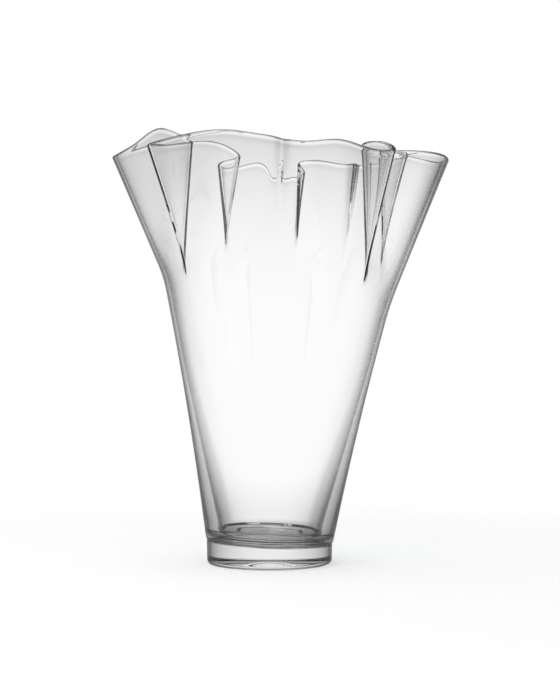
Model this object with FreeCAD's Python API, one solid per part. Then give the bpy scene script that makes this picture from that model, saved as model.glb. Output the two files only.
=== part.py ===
"""Fan vase of clear glass: a pressed solid foot and a blown body with a folded rim.

The origin is the centre of the ring that the foot rests on. +X is to the right of the front
panel, +Y goes away from it to the back, and +Z is up. Lengths are in millimetres.
"""
import FreeCAD, Part
import math
import os

Vector = FreeCAD.Vector

# Foot: the solid puck that the body stands on. Its underside has a flat resting ring, a shallow
# hollow inside the ring and a ground dimple with a flat middle.
foot_radius = 43.9
foot_height = 15.5
foot_taper = 0.3
foot_edge_round = 3.0
foot_edge_turns = 2
hollow_radius = 25.0
hollow_depth = 0.5
dimple_radius = 14.5
dimple_flat_radius = 8.5
dimple_depth = 2.4

# Body below the folds: a round wall that flares, on an axis that leans to the right. The foot is
# pressed to that lean, so its top slopes and its resting ring lies flat. The wall draws in to the
# joint, which leaves a groove all round over the top edge of the foot.
lean_angle = 2.2
joint_radius = 42.9
heel_radius = 44.9
heel_rise = 3.2
fold_height = 184.0
fold_radius = 78.0
wall_sag = 1.4
wall_turns = 3

# Glass thickness: thin at the rim, and thicker from heavy_height down to the floor.
wall = 3.0
heavy_height = 150.0
heavy_extra = 7.2
heavy_power = 1.5
floor_thickness = 2.0
floor_round = 8.0
floor_turns = 2

# Rim: how far the folds reach, how high the lip lies, how far it waves up and down, and how softly
# a fold runs out into the wall, as a share of its length.
rim_height = 284.0
rim_reach = 100.0
rim_wave = 20.0
lip_bevel = 1.0
fold_ease_share = 0.12

# Each fold of the rim, walking round from the left end of the front panel. Its root is where the
# fold runs out into the round wall: the angles of its first and last line, and how far up the
# folded height they end, as shares. Then come the points of the lip in that fold: across and
# back as shares of rim_reach, and up as a share of rim_wave.
fold_root_and_lip_shares = [
    # front panel, left of the crease
    ((-133.0, -100.0), (0.21, 0.38), [
        (-0.660, -0.815, 0.12), (-0.445, -0.930, 0.27), (-0.260, -0.970, 0.30),
        (-0.085, -0.965, 0.19)]),
    # crease in the front panel
    ((-94.0, -88.0), (0.42, 0.42), [
        (0.035, -0.935, 0.11), (0.086, -0.895, 0.06), (0.137, -0.938, 0.00)]),
    # front panel, right of the crease
    ((-82.0, -49.0), (0.38, 0.20), [
        (0.260, -0.965, -0.06), (0.450, -0.930, 0.02), (0.628, -0.800, -0.14),
        (0.780, -0.660, -0.17)]),
    # right front pleat, from its outer fold in to its inner one
    ((-46.0, -42.5), (0.17, 0.15), [
        (0.833, -0.580, -0.03), (0.760, -0.475, 0.22), (0.642, -0.365, 0.22),
        (0.680, -0.260, 0.06)]),
    # right wing, near side
    ((-33.0, -11.0), (0.08, 0.00), [
        (0.870, -0.220, 0.07), (1.056, -0.220, 0.05), (1.190, -0.120, 0.01)]),
    # right wing, far side
    ((-1.0, 21.0), (0.00, 0.16), [
        (1.246, 0.040, -0.08), (1.200, 0.210, -0.10), (1.050, 0.340, 0.17)]),
    # right back pleat, from its inner fold out to its outer one
    ((27.5, 32.0), (0.28, 0.34), [
        (0.875, 0.380, 0.35), (0.808, 0.450, 0.23), (0.895, 0.545, 0.23),
        (0.998, 0.640, 0.36)]),
    # back panel, right part
    ((38.0, 50.0), (0.36, 0.38), [
        (0.940, 0.750, 0.28), (0.810, 0.825, 0.14), (0.715, 0.865, 0.16)]),
    # crease in the back panel
    ((54.0, 57.0), (0.36, 0.36), [
        (0.662, 0.868, 0.18), (0.642, 0.832, 0.21), (0.612, 0.872, 0.21)]),
    # back panel, middle part
    ((61.0, 76.0), (0.38, 0.40), [
        (0.540, 0.905, 0.23), (0.400, 0.870, 0.33), (0.275, 0.830, 0.32)]),
    # narrow back pleat on the right
    ((81.0, 85.5), (0.34, 0.34), [
        (0.216, 0.850, 0.24), (0.250, 0.900, -0.02), (0.212, 0.970, -0.22)]),
    # back panel, left part
    ((92.0, 114.0), (0.40, 0.42), [
        (0.125, 0.990, -0.20), (0.050, 0.970, -0.20), (-0.060, 0.950, 0.26),
        (-0.220, 0.940, 0.17)]),
    # narrow back pleat on the left
    ((117.5, 120.5), (0.42, 0.40), [
        (-0.370, 0.870, 0.08), (-0.375, 0.775, 0.22), (-0.255, 0.740, 0.37),
        (-0.240, 0.680, 0.50)]),
    # left wing, far side
    ((131.0, 168.0), (0.36, 0.12), [
        (-0.365, 0.600, 0.82), (-0.546, 0.480, 0.88), (-0.790, 0.330, 0.64),
        (-1.005, 0.160, 0.29)]),
    # left wing, near side, with its raised corner
    ((177.0, 212.0), (0.12, 0.18), [
        (-1.088, 0.020, 0.02), (-1.030, -0.135, 0.06), (-0.900, -0.250, 0.36),
        (-0.756, -0.340, 0.75), (-0.620, -0.410, 0.54)]),
    # left front pleat, from its inner fold out to its outer one
    ((217.5, 219.5), (0.19, 0.20), [
        (-0.525, -0.450, 0.29), (-0.585, -0.545, 0.16), (-0.710, -0.635, 0.03),
        (-0.790, -0.700, 0.00)]),
]

# The body's skin is ruled between rows of points: this many lines round the wall for each lip
# point, and rows of the folded wall at these shares of its height.
lines_per_lip_point = 2
folded_row_shares = [0.12, 0.24, 0.40, 0.65, 1.0]

full_turn = 360.0
slope_step = 0.01
lip_spacing_power = 0.5


def spread(first, last, count):
    """Evenly spaced values from first to last."""
    if count == 1:
        return [first]
    return [first + (last - first) * step / (count - 1) for step in range(count)]


joint_centre = Vector(0, 0, foot_height)
lean_turn = math.radians(lean_angle)
body_up = Vector(math.sin(lean_turn), 0, math.cos(lean_turn))
body_right = Vector(math.cos(lean_turn), 0, -math.sin(lean_turn))
body_back = Vector(0, 1, 0)

lip_points, root_angles, root_heights = [], [], []
for (angle_a, angle_b), (rise_a, rise_b), points in fold_root_and_lip_shares:
    root_angles += spread(angle_a, angle_b, len(points))
    for rise in spread(rise_a, rise_b, len(points)):
        root_heights.append(fold_height + rise * (rim_height - fold_height))
    for across, back, up in points:
        lip_points.append(Vector(across * rim_reach, back * rim_reach, rim_height + up * rim_wave))
lip_count = len(lip_points)

lip_places = [0.0]
for here, there in zip(lip_points, lip_points[1:] + lip_points[:1]):
    lip_places.append(lip_places[-1] + here.distanceToPoint(there) ** lip_spacing_power)

lip_curve = Part.BSplineCurve()
lip_curve.interpolate(Points=lip_points, PeriodicFlag=True, Parameters=lip_places)
lines = [index / lines_per_lip_point for index in range(round(lip_count * lines_per_lip_point))]


def eased(values, line, turn=0.0):
    """Value for a line of the wall, eased between its neighbours; turn is added each time round."""
    index = math.floor(line)
    part = line - index
    weights = ((1 - part) ** 3, 3 * part ** 3 - 6 * part ** 2 + 4,
               -3 * part ** 3 + 3 * part ** 2 + 3 * part + 1, part ** 3)
    total = 0.0
    for offset, weight in enumerate(weights, start=-1):
        laps, slot = divmod(index + offset, lip_count)
        total += weight * (values[slot] + turn * laps)
    return total / sum(weights)


def lip_place(line):
    """Place on the lip curve of a line of the wall, counted in lip points and parts of one."""
    return eased(lip_places[:-1], line, lip_places[-1]) % lip_places[-1]


def thickness(height):
    """Wall thickness at a height along the body's axis."""
    depth = (heavy_height - height) / (heavy_height - foot_height)
    return wall + heavy_extra * max(depth, 0.0) ** heavy_power


def outer_radius(height):
    """Outer radius of the round wall, carried on in a straight line above the fold height."""
    heel_height = foot_height + heel_rise
    share = (height - heel_height) / (fold_height - heel_height)
    flare = fold_radius - heel_radius
    if share <= 1:
        return heel_radius + flare * share - 4 * wall_sag * share * (1 - share)
    return fold_radius + (flare + 4 * wall_sag) * (share - 1)


def on_body(radius, angle, height):
    """Point of the body at a radius, an angle and a height on its leaning axis."""
    turn = math.radians(angle)
    return (joint_centre + body_up * (height - foot_height)
            + body_right * (radius * math.cos(turn)) + body_back * (radius * math.sin(turn)))


def round_wall(angle, height):
    """Middle of the unfolded wall."""
    return on_body(outer_radius(height) - thickness(height) / 2, angle, height)


def fold_share(climb):
    """How much of a fold has opened at a climb of 0 at its root and 1 at the lip."""
    if climb <= -fold_ease_share:
        return 0.0
    if climb >= fold_ease_share:
        return climb
    return (climb + fold_ease_share) ** 2 / (4 * fold_ease_share)


def folded_wall(line, row_share):
    """Middle of the wall on one of its lines, at a share of the way from the fold height to the lip."""
    lip = lip_curve.value(lip_place(line))
    lip_height = foot_height + (lip - joint_centre).dot(body_up)
    height = fold_height + (lip_height - fold_height) * row_share
    angle = eased(root_angles, line, full_turn)
    root = eased(root_heights, line)
    share = fold_share((height - root) / (lip_height - root))
    return round_wall(angle, height) + (lip - round_wall(angle, lip_height)) * share


def outward(line, row_share):
    """Outward direction of the folded wall."""
    along = folded_wall(line + slope_step, row_share) - folded_wall(line - slope_step, row_share)
    up = folded_wall(line, row_share) - folded_wall(line, row_share - slope_step)
    return along.cross(up).normalize()


def folded_row(row_share, side):
    """Row of points on the outer (side 1) or inner (side -1) face of the folded wall."""
    return [folded_wall(line, row_share) + outward(line, row_share) * (side * wall / 2)
            for line in lines]


def round_row(radius, height):
    """Row of points on a circle round the body's axis."""
    return [on_body(radius, eased(root_angles, line, full_turn), height) for line in lines]


def lip_rows():
    """Two rows on the crown of the lip, bevelled from the outer and the inner face of the wall."""
    crown_outer, crown_inner = [], []
    for line in lines:
        up = (folded_wall(line, 1) - folded_wall(line, 1 - slope_step)).normalize() * lip_bevel
        away = outward(line, 1) * (wall / 2 - lip_bevel)
        crown_outer.append(folded_wall(line, 1) + up + away)
        crown_inner.append(folded_wall(line, 1) + up - away)
    return [crown_outer, crown_inner]


def round_outline(centre_radius, centre_height, radius, first, last, turns):
    """Points (radius, height) of an arc from the first to the last angle, in equal turns."""
    return [(centre_radius + radius * math.cos(math.radians(angle)),
             centre_height + radius * math.sin(math.radians(angle)))
            for angle in spread(first, last, turns + 1)]


def make_blown_body():
    """Closed-bottom body: heel, outer wall, lip, inner wall, rounded corner and floor."""
    heel_top = foot_height + heel_rise
    floor_top = foot_height + floor_thickness
    corner_top = floor_top + floor_round
    corner_radius = outer_radius(corner_top) - thickness(corner_top) - floor_round

    rows = [round_row(joint_radius, foot_height)]
    for height in spread(heel_top, fold_height, wall_turns + 1):
        rows.append(round_row(outer_radius(height), height))
    rows += [folded_row(share, 1) for share in folded_row_shares]
    rows += lip_rows()
    rows += [folded_row(share, -1) for share in reversed(folded_row_shares)]
    for height in spread(fold_height, corner_top, wall_turns + 1):
        rows.append(round_row(outer_radius(height) - thickness(height), height))
    for radius, height in round_outline(corner_radius, corner_top, floor_round, 0, -90, floor_turns)[1:]:
        rows.append(round_row(radius, height))

    rings = [Part.makePolygon(row + row[:1]) for row in rows]
    skin = Part.makeCompound([Part.makeLoft(rings, False, True), Part.Face(rings[0]), Part.Face(rings[-1])])
    skin.sewShape()
    return Part.Solid(skin.Shells[0])


def make_solid_foot():
    """Pressed puck, revolved with its underside's hollow and dimple, then sloped on top."""
    side_radius = foot_radius - foot_taper
    outline = [(0, hollow_depth + dimple_depth), (dimple_flat_radius, hollow_depth + dimple_depth),
               (dimple_radius, hollow_depth), (hollow_radius, 0)]
    outline += round_outline(side_radius - foot_edge_round, foot_edge_round, foot_edge_round,
                             -90, 0, foot_edge_turns)
    outline += [(foot_radius, foot_height), (foot_radius, 2 * foot_height), (0, 2 * foot_height)]
    points = [Vector(radius, 0, height) for radius, height in outline]
    puck = Part.Face(Part.makePolygon(points + points[:1])).revolve(Vector(), Vector(0, 0, 1), full_turn)
    above = Part.makeCylinder(2 * foot_radius, 2 * foot_height, joint_centre, body_up)
    return puck.cut(above)


os.makedirs("parts", exist_ok=True)
nodes = {"solid_foot": make_solid_foot(), "blown_body": make_blown_body()}
for name, shape in nodes.items():
    box = shape.BoundBox
    print(name, "valid", shape.isValid(), "volume", round(shape.Volume), "mm3, box",
          [round(value, 1) for value in (box.XMin, box.YMin, box.ZMin, box.XMax, box.YMax, box.ZMax)])
    shape.exportStep(f"parts/{name}.step")
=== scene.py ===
import math

import bmesh
import bpy
import numpy as np
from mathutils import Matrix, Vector


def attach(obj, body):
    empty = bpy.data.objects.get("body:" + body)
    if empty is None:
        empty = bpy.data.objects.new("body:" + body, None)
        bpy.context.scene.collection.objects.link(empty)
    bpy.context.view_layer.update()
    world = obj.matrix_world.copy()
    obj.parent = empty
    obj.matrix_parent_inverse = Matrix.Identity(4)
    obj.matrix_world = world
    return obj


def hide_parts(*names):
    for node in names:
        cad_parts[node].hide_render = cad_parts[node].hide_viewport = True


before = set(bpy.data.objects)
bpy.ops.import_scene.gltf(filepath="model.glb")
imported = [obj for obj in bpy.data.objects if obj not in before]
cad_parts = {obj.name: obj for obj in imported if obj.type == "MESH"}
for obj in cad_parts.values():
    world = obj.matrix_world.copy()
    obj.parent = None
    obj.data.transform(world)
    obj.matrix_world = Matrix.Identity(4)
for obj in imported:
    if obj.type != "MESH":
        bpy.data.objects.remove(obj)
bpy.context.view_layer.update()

mm = 0.001


# The photographer's camera. It stands level with the middle of the vase, a little over a metre
# in front of it, with a short telephoto lens and nothing shifted.
camera_place = (7.35 * mm, -1180 * mm, 149 * mm)
camera_lens = 86.66

camera = bpy.data.objects.new("camera", bpy.data.cameras.new("camera"))
camera.data.lens = camera_lens
camera.location = camera_place
camera.rotation_euler = (math.radians(90), 0, 0)
bpy.context.scene.collection.objects.link(camera)
bpy.context.scene.camera = camera


# Blown body. One gather of clear glass, blown, swung out and pressed into folds by hand while
# soft, so it has a thin folded wall, a heavy round lower wall and a fire-polished lip.
joint_radius = 42.9
foot_height = 15.5
lean = math.radians(2.2)
heel_radius = 44.9
heel_rise = 3.2
heel_rows = 9
fold_height = 184.0
fold_radius = 78.0
wall_sag = 1.4
wall = 2.8
heavy_height = 150.0
heavy_extra = 7.2
heavy_power = 1.5
floor_thickness = 2.0
floor_round = 8.0
floor_round_rows = 8
floor_rows = 6
floor_crown = 0.6
floor_round_gap = 1.0
rim_height = 284.0
rim_reach = 100.0
rim_wave = 20.0
fold_ease = 0.12
fold_start = 160.0
straight_rows = 34
folded_rows = 44
bead_radius = 1.5
bead_swell = 4.0
bead_rows = 10
bead_sink = 0.7
lines_per_lip_point = 8
# Painted shade in the glass's tint: a grey band inside the outline, grey glass just over the foot,
# and the dark outline.
band_low, band_high = 0.32, 0.64
band_softness = 0.08
band_shade_depth = 0.36
heel_band_low, heel_band_high = 18.0, 25.0
heel_shade_depth = 0.56
outline_sharpness = 4.2
outline_gain = 1.9
outline_deepest = 0.98
folded_softness = 2.6
heavy_softness = 2.8
lip_sharpness = 4
lip_clearness = 0.97
level_from, level_to = 0.93, 0.99
level_ease = 0.7
body_ripple_size = 26.0
body_ripple_depth = 0.05
ripple_stretch = (1, 1, 0.35)
ripple_detail = 2.0
glass_ior = 1.5
body_shine = (0.93, 0.94, 0.94, 1)
white = (1, 1, 1, 1)

# Every fold of the rim, from the left end of the front panel round to the left front pleat: the
# angles at its root, how far up the folds its root lies, then the points of its lip as shares of
# rim_reach across and back, and of rim_wave up.
folds = [
    # front panel, left of the crease
    ((-133.0, -100.0), (0.21, 0.38), [
        (-0.660, -0.815, 0.12), (-0.445, -0.930, 0.27), (-0.260, -0.970, 0.30),
        (-0.085, -0.965, 0.19)]),
    # crease in the front panel
    ((-94.0, -88.0), (0.42, 0.42), [
        (0.035, -0.935, 0.11), (0.086, -0.895, 0.06), (0.137, -0.938, 0.00)]),
    # front panel, right of the crease
    ((-82.0, -49.0), (0.38, 0.20), [
        (0.260, -0.965, -0.06), (0.450, -0.930, 0.02), (0.628, -0.800, -0.14),
        (0.780, -0.660, -0.17)]),
    # right front pleat, from its outer fold in to its inner one
    ((-46.0, -42.5), (0.17, 0.15), [
        (0.833, -0.580, -0.03), (0.760, -0.475, 0.22), (0.642, -0.365, 0.22),
        (0.680, -0.260, 0.06)]),
    # right wing, near side
    ((-33.0, -11.0), (0.08, 0.00), [
        (0.870, -0.220, 0.07), (1.056, -0.220, 0.05), (1.190, -0.120, 0.01)]),
    # right wing, far side
    ((-1.0, 21.0), (0.00, 0.16), [
        (1.246, 0.040, -0.08), (1.200, 0.210, -0.10), (1.050, 0.340, 0.17)]),
    # right back pleat, from its inner fold out to its outer one
    ((27.5, 32.0), (0.28, 0.34), [
        (0.875, 0.380, 0.35), (0.808, 0.450, 0.23), (0.895, 0.545, 0.23),
        (0.998, 0.640, 0.36)]),
    # back panel, right part
    ((38.0, 50.0), (0.36, 0.38), [
        (0.940, 0.750, 0.28), (0.810, 0.825, 0.14), (0.715, 0.865, 0.16)]),
    # crease in the back panel
    ((54.0, 57.0), (0.36, 0.36), [
        (0.662, 0.868, 0.18), (0.642, 0.832, 0.21), (0.612, 0.872, 0.21)]),
    # back panel, middle part
    ((61.0, 76.0), (0.38, 0.40), [
        (0.540, 0.905, 0.23), (0.400, 0.870, 0.33), (0.275, 0.830, 0.32)]),
    # narrow back pleat on the right
    ((81.0, 85.5), (0.34, 0.34), [
        (0.216, 0.850, 0.24), (0.250, 0.900, -0.02), (0.212, 0.970, -0.22)]),
    # back panel, left part
    ((92.0, 114.0), (0.40, 0.42), [
        (0.125, 0.990, -0.20), (0.050, 0.970, -0.20), (-0.060, 0.950, 0.26),
        (-0.220, 0.940, 0.17)]),
    # narrow back pleat on the left
    ((117.5, 120.5), (0.42, 0.40), [
        (-0.370, 0.870, 0.08), (-0.375, 0.775, 0.22), (-0.255, 0.740, 0.37),
        (-0.240, 0.680, 0.50)]),
    # left wing, far side
    ((131.0, 168.0), (0.36, 0.12), [
        (-0.365, 0.600, 0.82), (-0.546, 0.480, 0.88), (-0.790, 0.330, 0.64),
        (-1.005, 0.160, 0.29)]),
    # left wing, near side, with its raised corner
    ((177.0, 212.0), (0.12, 0.18), [
        (-1.088, 0.020, 0.02), (-1.030, -0.135, 0.06), (-0.900, -0.250, 0.36),
        (-0.756, -0.340, 0.75), (-0.620, -0.410, 0.54)]),
    # left front pleat, from its inner fold out to its outer one
    ((217.5, 219.5), (0.19, 0.20), [
        (-0.525, -0.450, 0.29), (-0.585, -0.545, 0.16), (-0.710, -0.635, 0.03),
        (-0.790, -0.700, 0.00)]),
]

root_angles, root_rises, lip_points = [], [], []
for (first_angle, last_angle), (first_rise, last_rise), points in folds:
    root_angles += list(np.linspace(first_angle, last_angle, len(points)))
    root_rises += list(np.linspace(first_rise, last_rise, len(points)))
    lip_points += [(across * rim_reach, back * rim_reach, rim_height + up * rim_wave)
                   for across, back, up in points]
lip_points = np.array(lip_points)
lip_count = len(lip_points)
lip_steps = np.linalg.norm(np.roll(lip_points, -1, axis=0) - lip_points, axis=1) ** 0.5


def lip_slopes():
    """Slopes at the lip points that make the closed lip line bend without a jump."""
    before, after = np.roll(lip_steps, 1)[:, None], lip_steps[:, None]
    rise_in = (lip_points - np.roll(lip_points, 1, axis=0)) / before
    rise_out = (np.roll(lip_points, -1, axis=0) - lip_points) / after
    ties = np.diag(2 * (lip_steps + np.roll(lip_steps, 1)))
    for here in range(lip_count):
        ties[here, here - 1] += lip_steps[here]
        ties[here, (here + 1) % lip_count] += lip_steps[here - 1]
    return np.linalg.solve(ties, 3 * (after * rise_in + before * rise_out))


def eased(values, turn=0.0):
    """Values for all lines of the wall, eased between those of the lip points."""
    line = np.arange(lip_count * lines_per_lip_point) / lines_per_lip_point
    index = np.floor(line).astype(int)
    part = line - index
    weights = ((1 - part) ** 3, 3 * part ** 3 - 6 * part ** 2 + 4,
               -3 * part ** 3 + 3 * part ** 2 + 3 * part + 1, part ** 3)
    total = 0
    for offset, weight in enumerate(weights, start=-1):
        laps, slot = np.divmod(index + offset, lip_count)
        total = total + weight * (np.asarray(values)[slot] + turn * laps)
    return total / sum(weights)


def lip_line():
    """Points of the lip for all lines of the wall, on one smooth closed curve."""
    places = np.append(0, np.cumsum(lip_steps))
    place = eased(places[:-1], places[-1]) % places[-1]
    index = np.searchsorted(places, place, side="right") - 1
    slopes, step = lip_slopes(), lip_steps[index][:, None]
    share = ((place - places[index]) / lip_steps[index])[:, None]
    here, there = lip_points[index], lip_points[(index + 1) % lip_count]
    return (here * (1 - share) ** 2 * (1 + 2 * share) + there * share ** 2 * (3 - 2 * share)
            + slopes[index] * step * share * (1 - share) ** 2
            - slopes[(index + 1) % lip_count] * step * share ** 2 * (1 - share))


heel_top = foot_height + heel_rise
joint_centre = np.array((0, 0, foot_height))
body_up = np.array((math.sin(lean), 0, math.cos(lean)))
body_right = np.array((math.cos(lean), 0, -math.sin(lean)))
body_back = np.array((0, 1, 0))
turns = np.radians(eased(root_angles, 360))
roots = fold_height + eased(root_rises) * (rim_height - fold_height)
lip = lip_line()
lip_heights = foot_height + (lip - joint_centre) @ body_up
around = np.cos(turns)[:, None] * body_right + np.sin(turns)[:, None] * body_back


def thickness(height):
    """Wall thickness at a height along the leaning axis."""
    depth = np.maximum((heavy_height - height) / (heavy_height - foot_height), 0)
    return wall + heavy_extra * depth ** heavy_power


def outer_radius(height):
    """Outer radius of the round wall at a height, straight on above the roots of the folds."""
    share = (height - heel_top) / (fold_height - heel_top)
    flare = fold_radius - heel_radius
    return np.where(share <= 1, heel_radius + flare * share - 4 * wall_sag * share * (1 - share),
                    fold_radius + (flare + 4 * wall_sag) * (share - 1))


def round_row(radius, height):
    """Ring of points on the leaning axis, one for each line of the wall."""
    radius, height = np.broadcast_to(radius, turns.shape), np.broadcast_to(height, turns.shape)
    return (joint_centre + (height - foot_height)[:, None] * body_up
            + radius[:, None] * around)


def middle_row(height):
    """Ring of points in the middle of the glass, opened out where the folds have begun."""
    height = np.broadcast_to(height, turns.shape)
    climb = (height - roots) / (lip_heights - roots)
    share = np.where(climb >= fold_ease, climb,
                     np.maximum(climb + fold_ease, 0) ** 2 / (4 * fold_ease))
    round_middle = round_row(outer_radius(height) - thickness(height) / 2, height)
    round_lip = round_row(outer_radius(lip_heights) - thickness(lip_heights) / 2, lip_heights)
    return round_middle + (lip - round_lip) * share[:, None]


heights = [np.full(len(turns), height)
           for height in np.linspace(heel_top, fold_start, straight_rows, endpoint=False)]
heights += [fold_start + (lip_heights - fold_start) * share
            for share in np.linspace(0, 1, folded_rows)]
middle = np.array([middle_row(height) for height in heights])
along = np.roll(middle, -1, axis=1) - np.roll(middle, 1, axis=1)
up = np.gradient(middle, axis=0)
up /= np.linalg.norm(up, axis=2, keepdims=True)
outward = np.cross(along, up)
outward /= np.linalg.norm(outward, axis=2, keepdims=True)

to_lip = np.clip((lip_heights - np.array(heights)) / bead_swell, 0, 1)
swell = (1 - to_lip) ** 2 * (1 + 2 * to_lip)
half = np.array([thickness(height) for height in heights]) / 2
half = (half + (bead_radius - half) * swell)[:, :, None]
middle[-1] -= up[-1] * bead_sink

body_rows = []
for share in np.linspace(0, 1, heel_rows, endpoint=False)[1:]:
    radius = joint_radius + (heel_radius - joint_radius) * math.sin(share * math.pi / 2)
    height = foot_height + heel_rise * (1 - math.cos(share * math.pi / 2))
    body_rows.append(round_row(radius, height))
body_rows += list(middle + outward * half)
lip_rows = range(len(body_rows), len(body_rows) + bead_rows)
for turn in np.linspace(0, math.pi, bead_rows + 1)[1:-1]:
    body_rows.append(middle[-1] + (outward[-1] * math.cos(turn)
                                   + up[-1] * math.sin(turn)) * bead_radius)
corner_top = foot_height + floor_thickness + floor_round
corner_radius = float(outer_radius(corner_top) - thickness(corner_top)) - floor_round
inner = middle - outward * half
body_rows += [row for row, height in zip(inner[::-1], heights[::-1])
              if height.min() > corner_top + floor_round_gap]
for turn in np.linspace(0, math.pi / 2, floor_round_rows):
    body_rows.append(round_row(corner_radius + floor_round * math.cos(turn),
                               corner_top - floor_round * math.sin(turn)))
for share in np.linspace(1, 0, floor_rows, endpoint=False)[1:]:
    body_rows.append(round_row(corner_radius * share,
                               foot_height + floor_thickness + floor_crown * (1 - share ** 2)))


def next_ring(mesh, ring, row, slot):
    """Extrudes an open ring of vertices onto the next row of points and returns the new ring."""
    edges = [mesh.edges.get((a, b)) for a, b in zip(ring, ring[1:] + ring[:1])]
    made = set(bmesh.ops.extrude_edge_only(mesh, edges=edges)["geom"])
    for face in made:
        if isinstance(face, bmesh.types.BMFace):
            face.material_index = slot
    new = [next(edge.other_vert(vert) for edge in vert.link_edges
                if edge.other_vert(vert) in made) for vert in ring]
    for vert, point in zip(new, row):
        vert.co = Vector(point) * mm
    return new


def finish_piece(name, mesh, materials):
    """Turns a finished bmesh into a smooth piece that moves with the vase."""
    bmesh.ops.recalc_face_normals(mesh, faces=mesh.faces)
    for face in mesh.faces:
        face.smooth = True
    data = bpy.data.meshes.new(name)
    mesh.to_mesh(data)
    mesh.free()
    for material in materials:
        data.materials.append(material)
    piece = bpy.data.objects.new(name, data)
    bpy.context.scene.collection.objects.link(piece)
    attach(piece, "root")
    return piece


class Socket:
    """Output socket of a node, so that shader maths reads as ordinary expressions."""

    def __init__(self, tree, socket):
        self.tree, self.socket = tree, socket

    def node(self, kind, inputs=(), output=0, **settings):
        made = self.tree.nodes.new(kind)
        for name, value in settings.items():
            setattr(made, name, value)
        for name, value in dict(inputs).items():
            if isinstance(value, Socket):
                self.tree.links.new(value.socket, made.inputs[name])
            else:
                made.inputs[name].default_value = value
        return Socket(self.tree, made.outputs[output])

    def maths(self, operation, *values):
        return self.node("ShaderNodeMath", enumerate(values), operation=operation)

    def __add__(self, other):
        return self.maths("ADD", self, other)

    def __radd__(self, other):
        return self.maths("ADD", other, self)

    def __sub__(self, other):
        return self.maths("SUBTRACT", self, other)

    def __rsub__(self, other):
        return self.maths("SUBTRACT", other, self)

    def __mul__(self, other):
        return self.maths("MULTIPLY", self, other)

    def __rmul__(self, other):
        return self.maths("MULTIPLY", other, self)

    def __pow__(self, other):
        return self.maths("POWER", self, other)

    def at_most(self, limit):
        return self.maths("MINIMUM", self, limit)

    def ramp(self, low, high):
        return self.node("ShaderNodeMapRange", {"Value": self, "From Min": low, "From Max": high},
                         interpolation_type="SMOOTHSTEP")

    def axis(self, name):
        """The X, Y or Z part of a vector: across, back or up."""
        return self.node("ShaderNodeSeparateXYZ", {"Vector": self}, output=name)


def new_material(name):
    """Empty material and a Socket to start its nodes from."""
    material = bpy.data.materials.new(name)
    material.use_nodes = True
    material.node_tree.nodes.clear()
    return material, Socket(material.node_tree, None)


def wire_up(start, surface):
    """Links a surface shader to the output of its material or world."""
    kind = "ShaderNodeOutputMaterial"
    if isinstance(start.tree.id_data, bpy.types.World):
        kind = "ShaderNodeOutputWorld"
    start.tree.links.new(surface.socket, start.tree.nodes.new(kind).inputs["Surface"])


def clear_glass(name, painted_shade, ripple_size, ripple_depth, shine_through):
    """Clear glass with the faint ripples of blown glass. Lamps shine through it. Its tint is
    painted shade, from a function of how nearly edge-on a surface is seen, which counts for less on
    level surfaces, and of its height on the vase."""
    material, start = new_material(name)
    facing = start.node("ShaderNodeLayerWeight", {"Blend": 0.5}, output="Facing")
    place = start.node("ShaderNodeTexCoord", output="Object")
    upward = start.node("ShaderNodeTexCoord", output="Normal").axis("Z")
    level = upward.maths("ABSOLUTE", upward).ramp(level_from, level_to)
    # Painted shade: the tint darkens where the glass is seen edge-on, less on level surfaces.
    clear = painted_shade(facing * (1 - level * level_ease), place.axis("Z"))
    painted_shade_colour = start.node("ShaderNodeCombineColor", {"Red": clear, "Green": clear, "Blue": clear})
    drawn = start.node("ShaderNodeMapping", {"Vector": place, "Scale": ripple_stretch})
    ripple = start.node("ShaderNodeTexNoise", {
        "Vector": drawn, "Scale": 1 / (ripple_size * mm), "Detail": ripple_detail})
    bump = start.node("ShaderNodeBump", {
        "Height": ripple, "Distance": ripple_depth * mm, "Strength": 1.0})
    glass = start.node("ShaderNodeBsdfPrincipled", {
        "Base Color": painted_shade_colour, "Roughness": 0.0, "IOR": glass_ior, "Transmission Weight": 1.0,
        "Normal": bump})
    gap = start.node("ShaderNodeBsdfTransparent", {"Color": shine_through})
    shadow = start.node("ShaderNodeLightPath", output="Is Shadow Ray")
    wire_up(start, start.node("ShaderNodeMixShader", {0: shadow, 1: glass, 2: gap}))
    return material


def painted_outline_shade(facing, sharpness, gain):
    """Painted shade: the glass's tint is darkened where it is seen nearly edge-on, in a wider line
    where the sharpness is lower.
    """
    return 1 - (facing ** sharpness * gain).at_most(outline_deepest)


def body_painted_shade(facing, height):
    """Painted shade in the tint: the outline is dark, in a wider line on the folds and low on the
    wall.
    Inside it a painted grey band is placed by how thick the wall is at that height, and just over
    the foot all the glass is painted grey."""
    climb = height.ramp(foot_height * mm, heavy_height * mm)
    band_onset = band_low + (band_high - band_low) * climb
    painted_band = (facing - band_onset).ramp(-band_softness, band_softness)
    heel_painted_shade = 1 - height.ramp(heel_band_low * mm, heel_band_high * mm)
    folded = height.ramp(fold_start * mm, rim_height * mm)
    heavy = (1 - climb) ** 2
    sharpness = outline_sharpness - folded * folded_softness - heavy * heavy_softness
    return ((1 - painted_band * band_shade_depth) * (1 - heel_painted_shade * heel_shade_depth)
            * painted_outline_shade(facing, sharpness, outline_gain))


def lip_painted_shade(facing, height):
    """Painted shade: the round lip's tint is clear along its middle and darkens towards both of its
    edges.
    """
    return (1 - facing) ** lip_sharpness * lip_clearness


def joined_glass(name):
    """The place where two gathers were joined hot. The glass goes on, so nothing shows."""
    material, start = new_material(name)
    wire_up(start, start.node("ShaderNodeBsdfTransparent", {"Color": white}))
    return material


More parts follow.
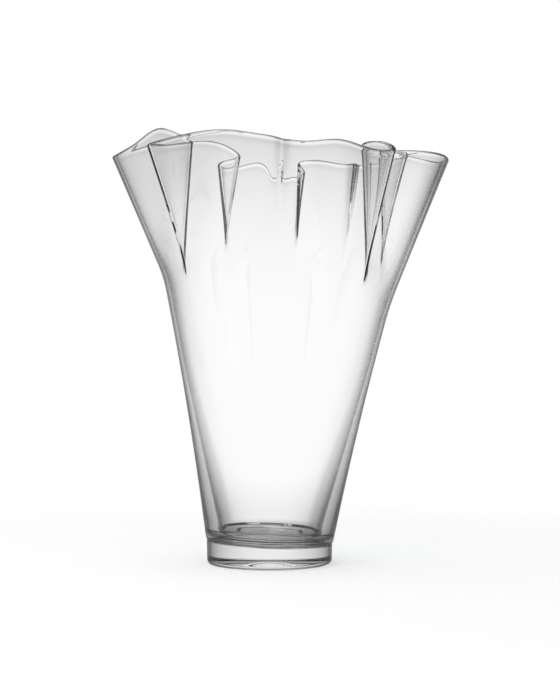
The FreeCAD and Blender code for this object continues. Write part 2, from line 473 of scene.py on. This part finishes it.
body_mesh = bmesh.new()
ring = bmesh.ops.create_circle(body_mesh, cap_ends=True, radius=joint_radius * mm,
                               segments=len(turns))["verts"]
for vert, point in zip(ring, round_row(joint_radius, foot_height)):
    vert.co = Vector(point) * mm
for face in body_mesh.faces:
    face.material_index = 1
for index, row in enumerate(body_rows):
    ring = next_ring(body_mesh, ring, row, 2 if index in lip_rows else 0)
middle_of_floor = joint_centre + body_up * (floor_thickness + floor_crown)
bmesh.ops.pointmerge(body_mesh, verts=ring, merge_co=Vector(middle_of_floor) * mm)

body_glass = clear_glass("body_glass", body_painted_shade, body_ripple_size, body_ripple_depth,
                         body_shine)
body_joint = joined_glass("body_joint")
lip_glass = clear_glass("lip_glass", lip_painted_shade, body_ripple_size, 0.0, body_shine)
body = finish_piece("blown_body_glass", body_mesh, [body_glass, body_joint, lip_glass])
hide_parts("blown_body")


# Solid foot. A puck of the same glass, put on hot and pressed flat, with a rounded lower edge.
# Its underside keeps a resting ring, a shallow hollow and the ground dimple of the iron.
foot_radius = 43.9
foot_taper = 0.3
foot_top_round = 1.0
foot_top_rows = 5
foot_side_rows = 4
foot_edge_round = 3.0
foot_edge_rows = 8
hollow_radius = 25.0
hollow_ease = 2.0
hollow_depth = 0.5
dimple_radius = 14.5
dimple_border = 4.0
dimple_edge = 1.0
dimple_depth = 2.4
dimple_bend = 1.2
dimple_rows = 9
foot_turns = 256
weld_distance = 0.001
tilt_start = 0.4
# Painted shade: how the foot's tint darkens towards its outline.
foot_sharpness = 1.1
foot_gain = 1.5
foot_ripple_size = 18.0
foot_ripple_depth = 0.03
foot_shine = (0.6, 0.6, 0.6, 1)

side_radius = foot_radius - foot_taper
foot_outline = [(joint_radius, foot_height)]
for turn in np.linspace(0, math.pi / 2, foot_top_rows + 1)[1:]:
    foot_outline.append((foot_radius - foot_top_round * (1 - math.sin(turn)),
                         foot_height - foot_top_round * (1 - math.cos(turn))))
for share in np.linspace(0, 1, foot_side_rows + 1)[1:-1]:
    foot_outline.append((foot_radius - foot_taper * share,
                         foot_height + (foot_edge_round - foot_height) * share))
for turn in np.linspace(0, math.pi / 2, foot_edge_rows + 1):
    foot_outline.append((side_radius - foot_edge_round + foot_edge_round * math.cos(turn),
                         foot_edge_round - foot_edge_round * math.sin(turn)))
foot_outline += [(radius, hollow_depth * depth_share) for radius, depth_share in (
    (hollow_radius + hollow_ease, 0), (hollow_radius, 0.1), (hollow_radius - hollow_ease, 0.3),
    (dimple_radius + dimple_border, 0.9), (dimple_radius + dimple_edge, 1))]
for share in np.linspace(0, 1, dimple_rows):
    foot_outline.append((dimple_radius * (1 - share), hollow_depth
                         + dimple_depth * math.sin(share * math.pi / 2) ** dimple_bend))

foot_mesh = bmesh.new()
points = [foot_mesh.verts.new((radius * mm, 0, height * mm)) for radius, height in foot_outline]
profile = [foot_mesh.edges.new(pair) for pair in zip(points, points[1:])]
bmesh.ops.spin(foot_mesh, geom=points + profile, cent=(0, 0, 0), axis=(0, 0, 1),
               angle=2 * math.pi, steps=foot_turns, use_merge=True)
bmesh.ops.remove_doubles(foot_mesh, verts=foot_mesh.verts, dist=weld_distance * mm)
for vert in foot_mesh.verts:
    lift = vert.co.z / (foot_height * mm)
    if lift > tilt_start:
        vert.co.z -= math.tan(lean) * vert.co.x * (lift - tilt_start) / (1 - tilt_start)
rim_edges = [edge for edge in foot_mesh.edges if edge.is_boundary]
cap = bmesh.ops.contextual_create(foot_mesh, geom=rim_edges)["faces"]
for face in cap:
    face.material_index = 1


def foot_painted_shade(facing, height):
    """Painted shade: the solid puck's tint darkens evenly towards its outline."""
    return painted_outline_shade(facing, foot_sharpness, foot_gain)


foot_glass = clear_glass("foot_glass", foot_painted_shade, foot_ripple_size, foot_ripple_depth,
                         foot_shine)
foot_joint = joined_glass("foot_joint")
foot = finish_piece("solid_foot_glass", foot_mesh, [foot_glass, foot_joint])
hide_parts("solid_foot")


# Studio. A plain pale floor that runs out into a white surround, and one large soft lamp above.
# Seen through the glass the surround has a grey zone over the horizon behind the vase, and in
# what the glass mirrors it is dimmer all round.
floor_radius = 3.0
floor_turns = 96
floor_colour = (0.86, 0.86, 0.86, 1)
floor_glow = 0.19
shadow_reach = (0.16, 0.5)
glass_reach = (0.030, 0.040)
mirror_shade = 0.6
zone_level = 0.35
zone_from, zone_to = 0.035, 0.24
zone_end_from, zone_end_to = 0.16, 0.3
zone_end_fade = 0.9
behind_from, behind_to = -0.2, 0.4
front_zone_lift = 0.45
zone_reach = (0.7, 1.0)
floor_shade = 0.15
floor_shade_from, floor_shade_to = 0.1, 0.45
fill_light = 0.45
lamp_power = 16.0
lamp_size = 1.2
lamp_place = (-0.35, -0.25, 1.6)
lamp_direction = (0.35, 0.25, -1.45)

floor_mesh = bmesh.new()
bmesh.ops.create_circle(floor_mesh, cap_ends=True, radius=floor_radius, segments=floor_turns)
floor_data = bpy.data.meshes.new("floor")
floor_mesh.to_mesh(floor_data)
floor_mesh.free()
floor = bpy.data.objects.new("floor", floor_data)
bpy.context.scene.collection.objects.link(floor)


def in_plain_sight(start):
    """Three sockets, each 1 for some rays and 0 for the others: rays from the camera, all rays that
    show the surround to the camera, also by way of the glass, and rays that the glass mirrored."""
    camera_ray, glossy, through, scattered = (
        start.node("ShaderNodeLightPath", output=name)
        for name in ("Is Camera Ray", "Is Glossy Ray", "Is Transmission Ray", "Diffuse Depth"))
    seen = ((camera_ray + glossy + through) * (1 - scattered.at_most(1))).at_most(1)
    return camera_ray, seen, glossy * (1 - through)


def surround_shade(start, way, mirrored):
    """How bright the surround is in a unit direction, seen through the glass or mirrored in it.
    In front of the vase the grey zone begins so high that little of it is left."""
    front = 1 - way.axis("Y").ramp(behind_from, behind_to)
    zone = (way.axis("Z") - front * front_zone_lift).ramp(zone_from, zone_to)
    zone = zone * (1 - way.axis("Z").ramp(zone_end_from, zone_end_to) * zone_end_fade)
    return (1 - zone * (1 - zone_level)) * (1 - mirrored * mirror_shade)


floor_paint, start = new_material("floor_paint")
camera_ray, seen, mirrored = in_plain_sight(start)
place = start.node("ShaderNodeTexCoord", output="Object")
distance = start.node("ShaderNodeVectorMath", {0: place}, output="Value", operation="LENGTH")
paint = start.node("ShaderNodeBsdfDiffuse", {"Color": floor_colour})
glow = start.node("ShaderNodeEmission", {"Color": white, "Strength": camera_ray * floor_glow})
near = start.node("ShaderNodeAddShader", {0: paint, 1: glow})
way = start.node("ShaderNodeVectorMath", {0: place}, operation="NORMALIZE")
shade = 1 - (1 - surround_shade(start, way, mirrored)) * distance.ramp(*zone_reach)
shade = shade.at_most(1 - mirrored * mirror_shade)
# Painted shade: seen through the glass, the floor's glow is dimmer near the vase.
shade = shade * (1 - (1 - distance.ramp(floor_shade_from, floor_shade_to)) * floor_shade)
far = start.node("ShaderNodeEmission", {
    "Color": white, "Strength": camera_ray + (1 - camera_ray) * shade})
reach = camera_ray * distance.ramp(*shadow_reach) + (1 - camera_ray) * distance.ramp(*glass_reach)
wire_up(start, start.node("ShaderNodeMixShader", {0: reach * seen, 1: near, 2: far}))
floor_data.materials.append(floor_paint)

world = bpy.data.worlds.new("studio")
bpy.context.scene.world = world
world.use_nodes = True
world.node_tree.nodes.clear()
start = Socket(world.node_tree, None)
camera_ray, seen, mirrored = in_plain_sight(start)
way = start.node("ShaderNodeTexCoord", output="Generated")
shade = camera_ray + (1 - camera_ray) * surround_shade(start, way, mirrored)
level = fill_light + (shade - fill_light) * seen
wire_up(start, start.node("ShaderNodeBackground", {"Color": white, "Strength": level}))

lamp = bpy.data.objects.new("overhead_lamp", bpy.data.lights.new("overhead_lamp", "AREA"))
lamp.data.energy = lamp_power
lamp.data.size = lamp_size
lamp.location = lamp_place
lamp.rotation_euler = Vector(lamp_direction).to_track_quat("-Z", "Y").to_euler()
lamp.visible_transmission = False
bpy.context.scene.collection.objects.link(lamp)

bpy.context.scene.view_settings.view_transform = "Standard"
